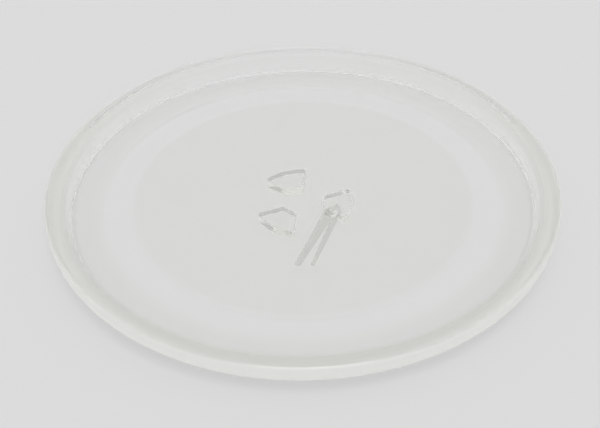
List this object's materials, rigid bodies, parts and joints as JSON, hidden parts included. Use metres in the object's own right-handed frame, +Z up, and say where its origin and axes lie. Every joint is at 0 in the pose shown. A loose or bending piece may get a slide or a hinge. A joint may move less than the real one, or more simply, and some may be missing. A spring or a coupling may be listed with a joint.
{
  "type": "microwave turntable plate",
  "caption": "Round clear pressed-glass plate with a raised rim that slopes down to the dish, wedge-shaped drive lugs under its middle and a shallow roller track.",
  "frame": {"origin": "on the plate's axis, at the level of the lug feet that it stands on", "axes": "+Z up, out of the dish; +X through the middle of one drive lug"},
  "size_m": [0.245, 0.245, 0.0174],
  "materials": {
    "clear_glass": "clear, fire-polished, with a faint yellow-green tint"
  },
  "bodies": {
    "root": {"turntable_plate": "clear_glass"}
  },
  "joints": []
}
